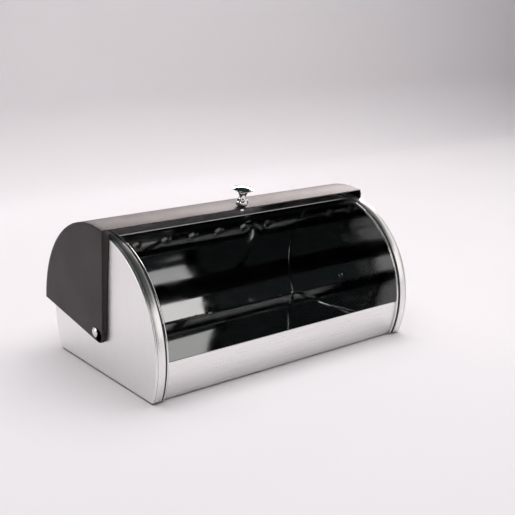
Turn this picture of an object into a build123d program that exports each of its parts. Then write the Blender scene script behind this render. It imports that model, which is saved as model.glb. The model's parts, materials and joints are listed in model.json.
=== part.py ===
# Roll-top bread box: a drum-shaped sheet-steel body whose painted lid turns on two rivets.
# Frame: origin on the table under the middle of the whole box, +X to the right along the
# drum, +Y to the back, +Z up.  The mouth, the front strip and the knob face -Y.
# All sizes are millimetres.  Angles run about the drum's length: 0 is straight back,
# 90 is straight up and 180 is straight forward.
from build123d import *
from math import asin, atan2, cos, degrees, hypot, radians, sin, sqrt
import os

# --- driving dimensions -------------------------------------------------------------------
body_half_length = 190.0        # middle of the drum to the outer face of an end plate
body_radius = 120.4             # outside of the rim bands
arc_above_base = 50.2           # drum centre above the flat underside
foot_height = 1.5
foot_radius = 6.0
foot_inset = 35.0               # feet in from the end plates
foot_chamfer = 0.4
sheet = 0.8                     # steel sheet of the body and of the lid's cheeks

plate_thickness = 1.0           # end plate
plate_radius = 120.2
plate_edge_depth = 2.1          # rolled outer edge of the end plate, along X
plate_edge_round = 1.4
collar_radius = 118.9           # the end plate's collar, which the rim band sits on
collar_depth = 11.6             # cap face to the collar's inner end, along X
corner_round = 3.0              # the two lower corners of the end caps
collar_inner_corner = 0.7
band_groove = 0.4               # shadow line between the plate's edge and the band

panel_radius = 116.8            # outside of the front and back panels
panel_end_gap = 0.1             # between a panel's end and the end plate
strip_top_angle = 181.9         # top edge of the front panel
back_top_angle = 97.0           # top edge of the back panel
hem_depth = 7.0                 # folded edge at each panel's top
flange_width = 20.0             # the panels' feet, folded in under the floor
floor_gap = 1.0                 # between the floor's long edges and the curved panels
slot_clearance = 1.3            # round the panels, where they enter the end caps

seal_width = 2.4
seal_radius = 119.3
bead_width = 2.7
bead_radius = 119.5
bead_round = 1.1
rim_lift = 0.6                  # seal and bead stop this far above the underside

vent_count = 7
vent_pitch = 43.0
vent_angle = 36.0
vent_hole_radius = 4.0
vent_dish_radius = 9.0
vent_dish_height = 2.0

pivot_behind = 4.5              # lid pivot behind and above the drum centre
pivot_above = 0.8
lid_radius = 128.5
lid_half_length = 196.0
roof_sheet = 0.9
lid_travel = 80.0               # rolls forward this far to close
lower_edge_drop = 9.5           # the cheek's lower edge passes this far below the pivot
lower_edge_angle = 9.0          # and rises towards the back at this angle
front_edge_lead = 17.0          # the cheek's front edge passes this far before the pivot
front_edge_angle = 95.0         # and is this steep
apex_round = 9.0
fold_depth = 5.0                # the cheek's front and lower edges, folded in
fold_sweep = 6.0                # how far forward the front fold leans at its top
fold_start = 4.0                # the front fold runs from near the apex
fold_top_gap = 0.5              # to just under the roof

rivet_shank_radius = 3.0
rivet_head_radius = 6.0
rivet_head_height = 1.9
rivet_eye_radius = 3.9          # rolled inner end of the hollow rivet
rivet_eye_height = 1.2
rivet_bore_radius = 1.9
rivet_bore_depth = 5.0
running_clearance = 0.06
side_clearance = 0.3            # between the moving cheek and what it slides past
spacer_radius = 8.0

stop_reach = 100.0              # stop studs from the pivot
stop_radius = 3.0
stop_gap = 0.35                 # left between a stud and the fold that it stops

knob_angle = 99.4
knob_foot_radius = 4.4
knob_bulge_radius = 7.8
knob_neck_radius = 4.6
knob_disc_radius = 13.3
knob_disc_edge = 22.6           # height of the disc's edge above the lid
knob_height = 25.4
screw_radius = 2.0
screw_grip = 9.0                # thread length inside the knob
screw_head_radius = 4.0
screw_head_height = 4.4
screw_hole_radius = 2.2
washer_radius = 4.8
washer_thickness = 0.8
washer_seat = 0.15              # washer below the roof's curve, so that its rim clears

# --- worked-out places --------------------------------------------------------------------
lid_back_angle = lower_edge_angle - degrees(asin(lower_edge_drop / lid_radius))
lid_lip_angle = front_edge_angle + degrees(asin(front_edge_lead / lid_radius))
base_z = foot_height
drum_z = base_z + arc_above_base
lid_back_reach = pivot_behind + lid_radius * cos(radians(lid_back_angle))
drum_y = (body_radius - lid_back_reach) / 2        # centres the whole box on the origin
pivot_y = drum_y + pivot_behind
pivot_z = drum_z + pivot_above

cheek_inner = lid_half_length - sheet
flange_z = base_z + sheet
floor_z = flange_z + sheet
panel_inner = panel_radius - sheet
panel_base_angle = degrees(asin(arc_above_base / panel_radius))
panel_half_length = body_half_length - plate_thickness - panel_end_gap
band_depth = body_radius - collar_radius
collar_corner = corner_round - band_depth
floor_slot_width = 2 * (panel_radius * cos(radians(panel_base_angle)) + slot_clearance)
floor_slot_height = 2.6
seal_outer_x = body_half_length - collar_depth
bead_outer_x = seal_outer_x - seal_width
pivot_axis = Axis((0, pivot_y, pivot_z), (1, 0, 0))
pivot_section = Plane(origin=(0, pivot_y, pivot_z), x_dir=(1, 0, 0), z_dir=(0, -1, 0))


def drum_plane(x):
    """Plane across the drum at x, centred on the drum: its x runs back and its y runs up."""
    return Plane(origin=(x, drum_y, drum_z), x_dir=(0, 1, 0), z_dir=(1, 0, 0))


def pivot_plane(x):
    """Plane across the lid at x, centred on the pivot."""
    return Plane(origin=(x, pivot_y, pivot_z), x_dir=(0, 1, 0), z_dir=(1, 0, 0))


def polar(radius, angle):
    """Point at a radius and an angle in degrees from a sketch's origin."""
    return (radius * cos(radians(angle)), radius * sin(radians(angle)))


def draw_strip(outer_radius, thickness, start_angle, end_angle):
    """Draw the section of a sheet rolled about the sketch's origin."""
    sweep_angle = end_angle - start_angle
    with BuildLine() as outline:
        outer = CenterArc((0, 0), outer_radius, start_angle, sweep_angle)
        inner = CenterArc((0, 0), outer_radius - thickness, start_angle, sweep_angle)
        Line(outer @ 0, inner @ 0)
        Line(outer @ 1, inner @ 1)
    make_face(outline.edges())


def draw_flat_bottomed_disc(radius, flat_below, corner):
    """Draw a disc cut off flat below its centre, with rounded lower corners."""
    Circle(radius)
    with Locations((0, -flat_below - radius)):
        Rectangle(2 * radius, 2 * radius, mode=Mode.SUBTRACT)
    fillet(vertices().group_by(Axis.Y)[0], corner)


def finish(builder, name, colour):
    """Name a finished piece, colour it and write its STEP file."""
    builder.part.label = name
    builder.part.color = Color(colour)
    export_step(builder.part, f"parts/{name}.step")
    solids = len(builder.part.solids())
    print(f"{name}: {solids} solid(s), {builder.part.volume:.0f} mm3")


os.makedirs("parts", exist_ok=True)

# --- front panel: the low strip below the mouth ---------------------------------------------
front_base_angle = 180 + panel_base_angle
hem_sweep = degrees(hem_depth / panel_inner)
panel_foot_y = panel_radius * cos(radians(panel_base_angle))
with BuildPart() as front_panel:
    with BuildSketch(drum_plane(-panel_half_length)):
        draw_strip(panel_radius, sheet, strip_top_angle, front_base_angle)
        draw_strip(panel_inner, sheet, strip_top_angle, strip_top_angle + hem_sweep)
        with Locations((-panel_foot_y + flange_width / 2, -arc_above_base + sheet / 2)):
            Rectangle(flange_width, sheet)
    extrude(amount=2 * panel_half_length)
finish(front_panel, "front_panel", 0xD2CCCA)

# --- back panel: rolled over the top, with a row of dished vent holes -------------------------
vent_y, vent_z = polar(panel_radius, vent_angle)
vent_seat = Plane(
    origin=(0, drum_y + vent_y, drum_z + vent_z),
    x_dir=(1, 0, 0),
    z_dir=(0, cos(radians(vent_angle)), sin(radians(vent_angle))),
)
with BuildPart() as vent_dish:
    with BuildSketch(Plane.XZ):
        with BuildLine():
            Polyline(
                (vent_dish_radius + 0.4, 0),
                (vent_hole_radius + 0.7, vent_dish_height),
                (vent_hole_radius, vent_dish_height),
                (vent_hole_radius, vent_dish_height - sheet),
                (vent_dish_radius - 0.3, -sheet),
                (vent_dish_radius + 0.4, -sheet),
                close=True,
            )
        make_face()
    revolve(axis=Axis.Z)

with BuildPart() as back_panel:
    with BuildSketch(drum_plane(-panel_half_length)):
        draw_strip(panel_radius, sheet, -panel_base_angle, back_top_angle)
        draw_strip(panel_inner, sheet, back_top_angle - hem_sweep, back_top_angle)
        with Locations((panel_foot_y - flange_width / 2, -arc_above_base + sheet / 2)):
            Rectangle(flange_width, sheet)
    extrude(amount=2 * panel_half_length)
    with BuildSketch(vent_seat):
        with GridLocations(vent_pitch, 1, vent_count, 1):
            Circle(vent_dish_radius)
    extrude(amount=-2 * sheet, mode=Mode.SUBTRACT)
    with Locations(vent_seat):
        with GridLocations(vent_pitch, 1, vent_count, 1):
            add(vent_dish.part)
finish(back_panel, "back_panel", 0xC9C4C2)

# --- floor panel: lies on the folded feet of the two curved panels -----------------------------
floor_half_width = sqrt(panel_inner**2 - (drum_z - floor_z) ** 2) - floor_gap
with BuildPart() as floor_panel:
    with BuildSketch(Plane.XY.offset(flange_z)):
        with Locations((0, drum_y)):
            Rectangle(2 * panel_half_length, 2 * floor_half_width)
    extrude(amount=sheet)
finish(floor_panel, "floor_panel", 0xBDB8B6)

# --- rubber feet -------------------------------------------------------------------------------
foot_x = body_half_length - foot_inset
foot_y = panel_foot_y - flange_width / 2
for side, along in (("left", -foot_x), ("right", foot_x)):
    for end, across in (("front", drum_y - foot_y), ("back", drum_y + foot_y)):
        with BuildPart() as foot:
            with BuildSketch(Plane.XY):
                with Locations((along, across)):
                    Circle(foot_radius)
            extrude(amount=foot_height)
            chamfer(faces().sort_by(Axis.Z)[0].edges(), foot_chamfer)
        finish(foot, f"{end}_{side}_foot", 0x202022)

# --- pieces of the two ends, made for each side ----------------------------------------------------
# The cheek's outline is two straight edges and the lid's radius: each edge is a line at a
# known distance from the pivot, so the angle at which it meets the radius is known too.
cheek_radius = lid_radius - roof_sheet
back_corner_angle = lower_edge_angle - degrees(asin(lower_edge_drop / cheek_radius))
front_corner_angle = front_edge_angle + degrees(asin(front_edge_lead / cheek_radius))
lower_dir = (cos(radians(lower_edge_angle)), sin(radians(lower_edge_angle)))
front_dir = (cos(radians(front_edge_angle)), sin(radians(front_edge_angle)))
lower_foot = (lower_edge_drop * lower_dir[1], -lower_edge_drop * lower_dir[0])
front_foot = (-front_edge_lead * front_dir[1], front_edge_lead * front_dir[0])


def meeting_point(point_a, dir_a, point_b, dir_b):
    """Where two straight lines of a sketch cross."""
    cross = dir_a[0] * dir_b[1] - dir_a[1] * dir_b[0]
    gap_x = point_b[0] - point_a[0]
    gap_y = point_b[1] - point_a[1]
    along = (gap_x * dir_b[1] - gap_y * dir_b[0]) / cross
    return (point_a[0] + along * dir_a[0], point_a[1] + along * dir_a[1])


apex = meeting_point(lower_foot, lower_dir, front_foot, front_dir)
back_corner = polar(cheek_radius, back_corner_angle)
front_corner = polar(cheek_radius, front_corner_angle)


def draw_cheek():
    """Draw the cheek's whole outline about the pivot."""
    with BuildLine() as outline:
        Line(apex, back_corner)
        sweep_angle = front_corner_angle - back_corner_angle
        CenterArc((0, 0), cheek_radius, back_corner_angle, sweep_angle)
        Line(front_corner, apex)
    make_face(outline.edges())
    fillet(vertices().sort_by_distance((*apex, 0))[0], apex_round)


def fold_lean(along):
    """How far forward the front fold's free edge leans, at a distance along the front edge."""
    return fold_sweep * (along - fold_start) / (fold_end - fold_start)


def stop_point(edge_foot, edge_dir, inward, from_edge):
    """Centre of a stop stud that stands a given distance in from one of the cheek's edges."""
    foot = (edge_foot[0] + from_edge * inward[0], edge_foot[1] + from_edge * inward[1])
    along = sqrt(stop_reach**2 - (foot[0] ** 2 + foot[1] ** 2))
    return (foot[0] + along * edge_dir[0], foot[1] + along * edge_dir[1])


# The front fold runs between the rounded apex and the roof.  Its strip is cut out of the
# straight folded rim, and then put back leaning forward.
fold_end = sqrt(cheek_radius**2 - (front_edge_lead + fold_sweep) ** 2) - fold_top_gap
fold_cut_length = 150.0
fold_cut_middle = (
    front_foot[0] + (fold_start + fold_cut_length / 2) * front_dir[0],
    front_foot[1] + (fold_start + fold_cut_length / 2) * front_dir[1],
)

# The open stop stands behind the front fold.  The closed stop stands before the lower
# fold once the lid has rolled forward, so it is turned by the lid's travel.
stud_end_x = cheek_inner - 0.6
stud_length = stud_end_x - body_half_length
stud_side = sheet + stop_gap + stop_radius
lean_at_stud = fold_lean(stop_reach) * (lid_half_length - stud_end_x) / fold_depth
front_side = stud_side - lean_at_stud
open_stop = stop_point(front_foot, front_dir, (front_dir[1], -front_dir[0]), front_side)
closed_rest = stop_point(lower_foot, lower_dir, (-lower_dir[1], lower_dir[0]), stud_side)
closed_angle = degrees(atan2(closed_rest[1], closed_rest[0])) + lid_travel
closed_stop = polar(hypot(*closed_rest), closed_angle)

for side, hand in (("left", -1), ("right", 1)):
    cap_face = drum_plane(hand * body_half_length)

    # end plate: a flat disc with a rolled edge and a collar that carries the rim band
    with BuildPart() as end_plate:
        with BuildSketch(cap_face):
            draw_flat_bottomed_disc(plate_radius, arc_above_base, corner_round)
        extrude(amount=-hand * plate_edge_depth)
        fillet(faces().sort_by(Axis.X)[-1 if hand > 0 else 0].edges(), plate_edge_round)
        with BuildSketch(cap_face):
            draw_flat_bottomed_disc(collar_radius, arc_above_base - band_depth, collar_corner)
        extrude(amount=-hand * collar_depth)
        with BuildSketch(drum_plane(hand * (body_half_length - plate_thickness))):
            collar_below = arc_above_base - band_depth - sheet
            draw_flat_bottomed_disc(collar_radius - sheet, collar_below, collar_inner_corner)
        extrude(amount=-hand * collar_depth, mode=Mode.SUBTRACT)
        with BuildSketch(drum_plane(hand * (body_half_length - plate_thickness))):
            with Locations((0, -arc_above_base)):
                Rectangle(floor_slot_width, 2 * floor_slot_height)
        extrude(amount=-hand * collar_depth, mode=Mode.SUBTRACT)
        with BuildSketch(pivot_plane(hand * body_half_length)):
            Circle(rivet_shank_radius)
        extrude(amount=-hand * plate_thickness, mode=Mode.SUBTRACT)
    finish(end_plate, f"{side}_end_plate", 0xDCD7D5)

    # rim band: the bright hoop round the end plate's collar
    band_outer_x = body_half_length - plate_edge_depth - band_groove
    band_width = band_outer_x - seal_outer_x
    with BuildPart() as rim_band:
        with BuildSketch(drum_plane(hand * band_outer_x)):
            draw_flat_bottomed_disc(body_radius, arc_above_base, corner_round)
            offset(amount=-band_depth, mode=Mode.SUBTRACT)
            with Locations((0, -arc_above_base)):
                Rectangle(floor_slot_width, 2 * floor_slot_height, mode=Mode.SUBTRACT)
        extrude(amount=-hand * band_width)
    finish(rim_band, f"{side}_rim_band", 0xE6E2E0)

    # black seal and polished bead, side by side round the mouth and the panels
    rim_start = -degrees(asin((arc_above_base - rim_lift) / bead_radius))
    rim_end = 180 - rim_start
    with BuildPart() as seal_ring:
        with BuildSketch(drum_plane(hand * seal_outer_x)):
            draw_strip(seal_radius, seal_radius - panel_radius - 0.1, rim_start, rim_end)
        extrude(amount=-hand * seal_width)
    finish(seal_ring, f"{side}_seal_ring", 0x1A1A1C)

    with BuildPart() as edge_bead:
        with BuildSketch(drum_plane(hand * bead_outer_x)):
            draw_strip(bead_radius, bead_radius - panel_radius - 0.1, rim_start, rim_end)
        extrude(amount=-hand * bead_width)
        crown = edges().filter_by(GeomType.CIRCLE).sort_by(SortBy.RADIUS)[-2:]
        fillet(crown, bead_round)
    finish(edge_bead, f"{side}_edge_bead", 0xF0EDEB)

    # spacer that holds the cheek off the end plate
    spacer_length = cheek_inner - side_clearance - body_half_length
    with BuildPart() as pivot_spacer:
        with BuildSketch(pivot_plane(hand * body_half_length)):
            Circle(spacer_radius)
            Circle(rivet_shank_radius, mode=Mode.SUBTRACT)
        extrude(amount=hand * spacer_length)
    finish(pivot_spacer, f"{side}_pivot_spacer", 0x262628)

    # hollow pivot rivet: domed head outside, shank through cheek, spacer and plate, rolled eye
    head_x = hand * (lid_half_length + side_clearance)
    plate_x = hand * (body_half_length - plate_thickness)
    eye_x = plate_x - hand * rivet_eye_height
    bore_x = eye_x + hand * rivet_bore_depth
    dome_radius = (rivet_head_radius**2 + rivet_head_height**2) / (2 * rivet_head_height)
    with BuildPart() as pivot_rivet:
        with BuildSketch(pivot_section):
            with BuildLine():
                Polyline(
                    (head_x + hand * rivet_head_height, 0),
                    (bore_x, 0),
                    (bore_x, rivet_bore_radius),
                    (eye_x, rivet_bore_radius),
                    (eye_x, rivet_eye_radius),
                    (plate_x, rivet_eye_radius),
                    (plate_x, rivet_shank_radius),
                    (head_x, rivet_shank_radius),
                    (head_x, rivet_head_radius),
                )
                dome_start = (head_x, rivet_head_radius)
                dome_top = (head_x + hand * rivet_head_height, 0)
                RadiusArc(dome_start, dome_top, hand * dome_radius)
            make_face()
        revolve(axis=pivot_axis)
        fillet(edges().filter_by(GeomType.CIRCLE).group_by(Axis.X)[0 if hand > 0 else -1], 0.5)
    finish(pivot_rivet, f"{side}_pivot_rivet", 0xF2F2F2)

    # two studs on the end plate, under the cheek, that stop the lid open and closed
    with BuildPart() as stop_studs:
        with BuildSketch(pivot_plane(hand * body_half_length)):
            with Locations(open_stop, closed_stop):
                Circle(stop_radius)
        extrude(amount=hand * stud_length)
        ends = faces().filter_by(Axis.X).group_by(Axis.X)[-1 if hand > 0 else 0]
        chamfer(ends.edges(), 0.3)
    finish(stop_studs, f"{side}_stop_studs", 0xC8C8C8)

    # lid cheek: sector plate with its lower and front edges folded in towards the body
    front_edge_x = (hand * lid_half_length, hand * (lid_half_length - fold_depth))
    with BuildPart() as cheek:
        with BuildSketch(pivot_plane(hand * lid_half_length)):
            draw_cheek()
            Circle(rivet_shank_radius + running_clearance, mode=Mode.SUBTRACT)
        extrude(amount=-hand * sheet)
        with BuildSketch(pivot_plane(hand * lid_half_length)):
            draw_cheek()
            offset(amount=-sheet, mode=Mode.SUBTRACT)
            Circle(cheek_radius - 1.5 * sheet, mode=Mode.INTERSECT)
            with Locations(Location(fold_cut_middle, front_edge_angle)):
                Rectangle(fold_cut_length, 4 * sheet, mode=Mode.SUBTRACT)
        extrude(amount=-hand * fold_depth)
        for along in (fold_start, fold_end):
            lean = fold_lean(along)
            section = Plane(
                origin=(
                    0,
                    pivot_y + front_foot[0] + along * front_dir[0],
                    pivot_z + front_foot[1] + along * front_dir[1],
                ),
                x_dir=(1, 0, 0),
                z_dir=(0, *front_dir),
            )
            with BuildSketch(section):
                Polygon(
                    (front_edge_x[0], 0),
                    (front_edge_x[1], -lean),
                    (front_edge_x[1], sheet - lean),
                    (front_edge_x[0], sheet),
                    align=None,
                )
        loft()
    finish(cheek, f"lid_{side}_cheek", 0x453E3F)

# --- lid roof: one rolled sheet over both cheeks -------------------------------------------------
lip_plane = Plane(
    origin=(0, pivot_y, pivot_z),
    x_dir=(1, 0, 0),
    z_dir=(0, cos(radians(knob_angle)), sin(radians(knob_angle))),
)
with BuildPart() as lid_roof:
    with BuildSketch(pivot_plane(-lid_half_length)):
        draw_strip(lid_radius, roof_sheet, lid_back_angle, lid_lip_angle)
    extrude(amount=2 * lid_half_length)
    with BuildSketch(lip_plane.offset(lid_radius + 1)):
        Circle(screw_hole_radius)
    extrude(amount=-3 * roof_sheet, mode=Mode.SUBTRACT)
finish(lid_roof, "lid_roof", 0x453E3F)

# --- knob: turned from bar, with a domed disc on a waisted stem ------------------------------------
knob_seat = lip_plane.offset(lid_radius)
knob_section = Plane(origin=knob_seat.origin, x_dir=(1, 0, 0), z_dir=-knob_seat.y_dir)
knob_axis = Axis(knob_seat.origin, knob_seat.z_dir)
knob_dome = knob_height - knob_disc_edge
knob_dome_radius = (knob_disc_radius**2 + knob_dome**2) / (2 * knob_dome)
with BuildPart() as knob:
    with BuildSketch(knob_section):
        with BuildLine():
            Polyline(
                (0, screw_grip),
                (screw_radius, screw_grip),
                (screw_radius, 0),
                (knob_foot_radius, 0),
                (knob_foot_radius, 0.5),
            )
            ThreePointArc((knob_foot_radius, 0.5), (6.9, 1.8), (knob_bulge_radius, 4.1))
            Polyline(
                (knob_bulge_radius, 4.1),
                (knob_bulge_radius - 0.4, 4.5),
                (knob_bulge_radius, 4.9),
                (knob_bulge_radius, 6.6),
            )
            ThreePointArc((knob_bulge_radius, 6.6), (7.3, 8.4), (5.6, 9.5))
            ThreePointArc((5.6, 9.5), (knob_neck_radius, 13.2), (5.8, 17.4))
            ThreePointArc((5.8, 17.4), (8.4, 20.3), (12.3, 21.7))
            Line((12.3, 21.7), (knob_disc_radius, knob_disc_edge))
            RadiusArc((knob_disc_radius, knob_disc_edge), (0, knob_height), -knob_dome_radius)
            Line((0, knob_height), (0, screw_grip))
        make_face()
    revolve(axis=knob_axis)
finish(knob, "knob", 0xEDEDED)

# --- washer and screw that hold the knob from inside the lid -----------------------------------------
washer_plane = lip_plane.offset(lid_radius - roof_sheet - washer_seat)
with BuildPart() as knob_washer:
    with BuildSketch(washer_plane):
        Circle(washer_radius)
        Circle(screw_hole_radius, mode=Mode.SUBTRACT)
    extrude(amount=-washer_thickness)
    chamfer(faces().sort_by(Axis.Z)[0].edges(), 0.15)
finish(knob_washer, "knob_washer", 0xD8D8D8)

head_plane = washer_plane.offset(-washer_thickness)
with BuildPart() as knob_screw:
    with BuildSketch(head_plane):
        Circle(screw_head_radius)
    extrude(amount=-screw_head_height)
    fillet(faces().sort_by(Axis.Z)[0].edges(), 1.6)
    with BuildSketch(head_plane):
        Circle(screw_radius)
    extrude(amount=washer_thickness + washer_seat + roof_sheet + screw_grip)
    with BuildSketch(head_plane.offset(-screw_head_height)):
        for turn in (0, 90):
            with Locations(Location((0, 0), turn)):
                Rectangle(4.0, 0.9)
    extrude(amount=1.6, mode=Mode.SUBTRACT)
finish(knob_screw, "knob_screw", 0xE2E2E2)
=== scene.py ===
"""Roll-top bread box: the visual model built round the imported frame.

Every piece is sheet metal rolled, folded or turned to the frame's own sizes.  Lengths are
metres unless a name ends in _mm.  Angles run about the drum: 0 back, 90 up, 180 front.
"""

import json
from math import acos, asin, atan2, ceil, cos, hypot, pi, radians, sin, sqrt

import bpy
import bmesh
from bpy.props import FloatProperty, FloatVectorProperty, IntProperty, PointerProperty
from mathutils import Euler, Matrix, Vector


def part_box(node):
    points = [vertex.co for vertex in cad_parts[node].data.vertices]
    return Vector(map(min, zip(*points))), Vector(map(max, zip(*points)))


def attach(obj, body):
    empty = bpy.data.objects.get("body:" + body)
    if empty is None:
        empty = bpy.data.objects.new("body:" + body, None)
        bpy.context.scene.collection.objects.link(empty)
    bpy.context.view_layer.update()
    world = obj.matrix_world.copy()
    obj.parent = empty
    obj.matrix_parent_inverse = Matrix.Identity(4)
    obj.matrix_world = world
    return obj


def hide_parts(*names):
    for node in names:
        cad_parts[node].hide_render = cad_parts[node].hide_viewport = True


bl_info = {
    "name": "Roll-top bread box",
    "version": (1, 0, 0),
    "blender": (4, 5, 0),
    "location": "3D View > Sidebar > Bread box",
    "description": "Builds a sheet-steel bread box whose lid rolls back on two rivets",
    "category": "Add Mesh",
}

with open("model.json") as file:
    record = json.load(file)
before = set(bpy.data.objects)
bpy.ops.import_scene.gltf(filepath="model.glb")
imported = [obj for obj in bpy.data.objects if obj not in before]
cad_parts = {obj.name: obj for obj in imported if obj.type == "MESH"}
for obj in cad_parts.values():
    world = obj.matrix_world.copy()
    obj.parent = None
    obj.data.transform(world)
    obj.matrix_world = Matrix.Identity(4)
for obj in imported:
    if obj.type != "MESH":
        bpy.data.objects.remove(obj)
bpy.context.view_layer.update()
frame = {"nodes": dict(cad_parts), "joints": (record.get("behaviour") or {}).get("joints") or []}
MM = 0.001
SIDES = (("left", -1), ("right", 1))
CURL = 2.6 * MM             # width of the panels' curled ends
CURL_STEP = 0.5 * MM
FLANGE = 20 * MM            # the panels' feet, folded in under the floor
COLUMN = 12 * MM            # spacing of points along a plain panel
BAND_WALL = 1.5 * MM
BEAD_CROWN = 1.1 * MM
ROOF_SHEET = 0.9 * MM
PLATE_SHEET = 1.0 * MM
RIVET_SHANK = 3 * MM


# --- sizes taken from the frame ---------------------------------------------------------------

def frame_sizes():
    """Read the drum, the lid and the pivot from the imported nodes' own boxes."""
    band_low, band_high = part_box("right_rim_band")
    plate_low, plate_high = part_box("right_end_plate")
    seal_low, seal_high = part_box("right_seal_ring")
    bead_low, bead_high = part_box("right_edge_bead")
    front_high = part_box("front_panel")[1]
    back_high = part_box("back_panel")[1]
    floor_low, floor_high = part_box("floor_panel")
    roof_low, roof_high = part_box("lid_roof")
    cheek_low, cheek_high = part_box("lid_right_cheek")
    radius = (band_high.y - band_low.y) / 2
    drum_y = (band_high.y + band_low.y) / 2
    drum_z = band_high.z - radius
    pivot = frame["joints"][0]["pos_m"]
    lid_radius = roof_high.z - pivot[2]
    return {
        "drum_y": drum_y,
        "drum_z": drum_z,
        "base_z": band_low.z,
        "band_radius": radius,
        "band_x": (band_low.x, band_high.x),
        "plate_radius": (plate_high.y - plate_low.y) / 2,
        "plate_x": (plate_low.x, plate_high.x),
        "seal_radius": (seal_high.y - seal_low.y) / 2,
        "seal_x": (seal_low.x, seal_high.x),
        "bead_radius": (bead_high.y - bead_low.y) / 2,
        "bead_x": (bead_low.x, bead_high.x),
        "rim_low_z": bead_low.z,
        "panel_radius": back_high.z - drum_z,
        "panel_x": back_high.x,
        "strip_top_z": front_high.z,
        "sheet": floor_high.z - floor_low.z,
        "floor_z": floor_high.z,
        "floor_y": (floor_high.y - floor_low.y) / 2,
        "pivot_y": pivot[1],
        "pivot_z": pivot[2],
        "lid_radius": lid_radius,
        "lid_x": roof_high.x,
        "lid_back": acos((roof_high.y - pivot[1]) / lid_radius),
        "lid_lip": acos((roof_low.y - pivot[1]) / lid_radius),
        "fold": cheek_high.x - cheek_low.x,
    }


SIZE = frame_sizes()
DRUM = (SIZE["drum_y"], SIZE["drum_z"])     # the drum's centre, across and up
PIVOT = (SIZE["pivot_y"], SIZE["pivot_z"])


# --- settings that a user would change --------------------------------------------------------

def linear(hex_colour):
    """Turn an sRGB hex colour into linear red, green and blue."""
    channels = (int(hex_colour[i : i + 2], 16) / 255 for i in (1, 3, 5))
    return tuple(c / 12.92 if c <= 0.04045 else ((c + 0.055) / 1.055) ** 2.4 for c in channels)


def colour_setting(name, description, hex_colour):
    """A colour property with an sRGB hex default."""
    return FloatVectorProperty(
        name=name, description=description, subtype="COLOR", min=0, max=1,
        default=linear(hex_colour),
    )


def length_setting(name, description, default):
    """A length property with a default in metres."""
    return FloatProperty(
        name=name, description=description, default=default, min=0, unit="LENGTH", precision=5
    )


class BreadBoxSizes(bpy.types.PropertyGroup):
    """Sheet-metal sizes that the frame doesn't hold."""

    edge_round: length_setting("Edge round", "Rounding of cut sheet edges", 0.22 * MM)
    plate_edge_round: length_setting(
        "Plate edge", "Radius of the end plates' rolled edge", 1.4 * MM
    )
    hem_depth: length_setting("Hem", "Depth of the folded edge along the mouth", 7.0 * MM)
    vent_count: IntProperty(
        name="Vents", description="Vent holes in the back panel", default=7, min=1, max=12
    )
    vent_pitch: length_setting("Vent pitch", "Distance between vent holes", 43 * MM)
    vent_angle: FloatProperty(
        name="Vent angle", description="Height of the vents round the drum",
        default=radians(36), subtype="ANGLE",
    )
    vent_hole: length_setting("Vent hole", "Radius of a vent hole", 4.0 * MM)
    vent_dish: length_setting(
        "Vent dish", "Radius of the pressed dish round a vent hole", 9.3 * MM
    )
    vent_rise: length_setting("Vent rise", "How far a dish stands out", 2.0 * MM)
    fold_lean: length_setting(
        "Fold lean", "How far the cheek's front fold leans forward at its top", 6.0 * MM
    )


class BreadBoxFinish(bpy.types.PropertyGroup):
    """Colours and grain of the finishes."""

    steel: colour_setting("Satin steel", "Outside of the stainless sheet", "#F0EFEE")
    bright_steel: colour_setting("Bright steel", "Bright annealed inside of the sheet", "#B7B8B8")
    chrome: colour_setting("Chrome", "Plated knob, beads and rivets", "#E4E3E2")
    paint: colour_setting("Lid paint", "Satin enamel of the lid", "#231C1D")
    rubber: colour_setting("Rubber", "Seals and feet", "#1B1B1C")
    grain_mm: FloatProperty(
        name="Grain", description="Width of a brushed line, in millimetres", default=0.9, min=0.05
    )
    wave_mm: FloatProperty(
        name="Sheet waves", description="Length of the thin sheet's slow waves, in millimetres",
        default=60, min=5,
    )


# --- mesh helpers -----------------------------------------------------------------------------

def arc(centre, radius, start, stop, step=2.2 * MM):
    """Points (y, z) along an arc, no further apart than step.  Angles are radians."""
    count = max(2, int(ceil(abs(stop - start) * radius / step)))
    angles = [start + (stop - start) * i / count for i in range(count + 1)]
    return [(centre[0] + radius * cos(a), centre[1] + radius * sin(a)) for a in angles]


def straight(start, stop, count):
    """Points between two points, both ends included."""
    return [
        tuple(a + (b - a) * i / count for a, b in zip(start, stop))
        for i in range(count + 1)
    ]


def even_steps(start, stop, step):
    """Values from start to stop, both included, no further apart than step."""
    count = max(1, int(ceil(abs(stop - start) / step)))
    return [start + (stop - start) * i / count for i in range(count + 1)]


def grid_faces(row_count, column_count, wrap_columns=False, offset=0):
    """Quads between neighbouring rows of a grid of points."""
    faces = []
    for i in range(row_count - 1):
        for j in range(column_count if wrap_columns else column_count - 1):
            next_column = (j + 1) % column_count
            faces.append((
                offset + i * column_count + j,
                offset + i * column_count + next_column,
                offset + (i + 1) * column_count + next_column,
                offset + (i + 1) * column_count + j,
            ))
    return faces


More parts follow.
